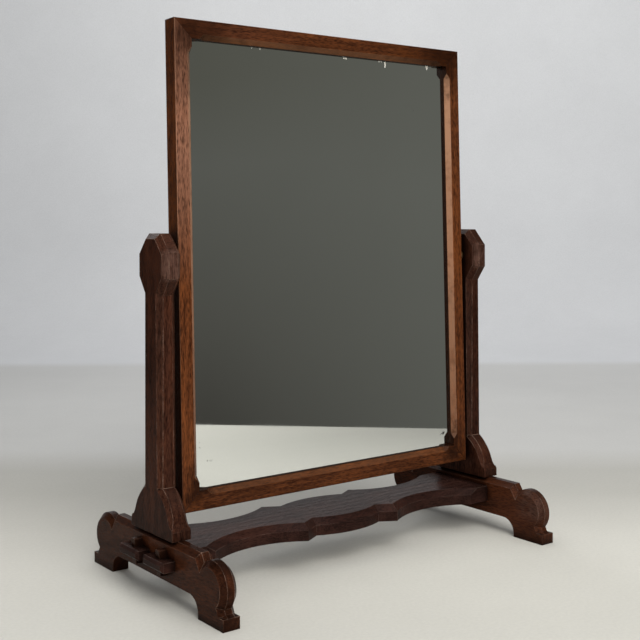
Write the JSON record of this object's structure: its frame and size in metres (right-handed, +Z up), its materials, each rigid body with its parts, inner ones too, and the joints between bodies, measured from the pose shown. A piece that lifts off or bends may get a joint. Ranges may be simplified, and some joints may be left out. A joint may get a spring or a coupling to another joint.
{
  "type": "dressing table mirror",
  "caption": "Swing mirror for a dressing table: a rectangular oak frame that tilts between two posts on trestle feet tied by a shaped shelf.",
  "frame": {"origin": "on the floor, midway between the feet and midway from the front toes to the rear toes", "axes": "+X to the right of a person who faces the glass, +Y to the rear, away from that person, +Z up"},
  "size_m": [0.5368, 0.293, 0.6487],
  "materials": {
    "foot_oak": "dark waxed oak, satin, grain along the foot",
    "post_oak": "dark waxed oak, satin, grain up the post",
    "tusk_oak": "dark waxed oak, satin",
    "shelf_oak": "dark waxed oak, satin, grain along the shelf",
    "rail_oak": "dark reddish waxed oak, grain along the rail",
    "stile_oak": "dark reddish waxed oak, grain up the stile",
    "spline_oak": "plain oak",
    "back_pine": "plain thin board, lightly stained",
    "silvered_glass": "silvered float glass, slightly spotted at the edges",
    "bush_brass": "turned brass, dulled",
    "plate_brass": "cast brass, dulled",
    "plate_screw_brass": "brass wood screw, dulled",
    "back_screw_steel": "dull steel wood screw",
    "washer_leather": "thick brown leather"
  },
  "bodies": {
    "stand": {"left_foot": "foot_oak", "left_post": "post_oak", "left_post_bush": "bush_brass", "left_front_tusk": "tusk_oak", "left_rear_tusk": "tusk_oak", "right_foot": "foot_oak", "right_post": "post_oak", "right_post_bush": "bush_brass", "right_front_tusk": "tusk_oak", "right_rear_tusk": "tusk_oak", "shelf": "shelf_oak"},
    "mirror": {"frame_bottom_rail": "rail_oak", "frame_top_rail": "rail_oak", "frame_left_stile": "stile_oak", "frame_right_stile": "stile_oak", "top_left_spline": "spline_oak", "top_right_spline": "spline_oak", "bottom_left_spline": "spline_oak", "bottom_right_spline": "spline_oak", "mirror_glass": "silvered_glass", "backboard": "back_pine", "backboard_screws": "back_screw_steel", "left_pivot_plate": "plate_brass", "left_pivot_washer": "washer_leather", "left_plate_screws": "plate_screw_brass", "right_pivot_plate": "plate_brass", "right_pivot_washer": "washer_leather", "right_plate_screws": "plate_screw_brass"}
  },
  "joints": [
    {"name": "mirror_tilt", "type": "hinge", "parent": "stand", "child": "mirror", "pos_m": [0, 0, 0.3685], "axis": [1, 0, 0], "continuous": true}
  ]
}
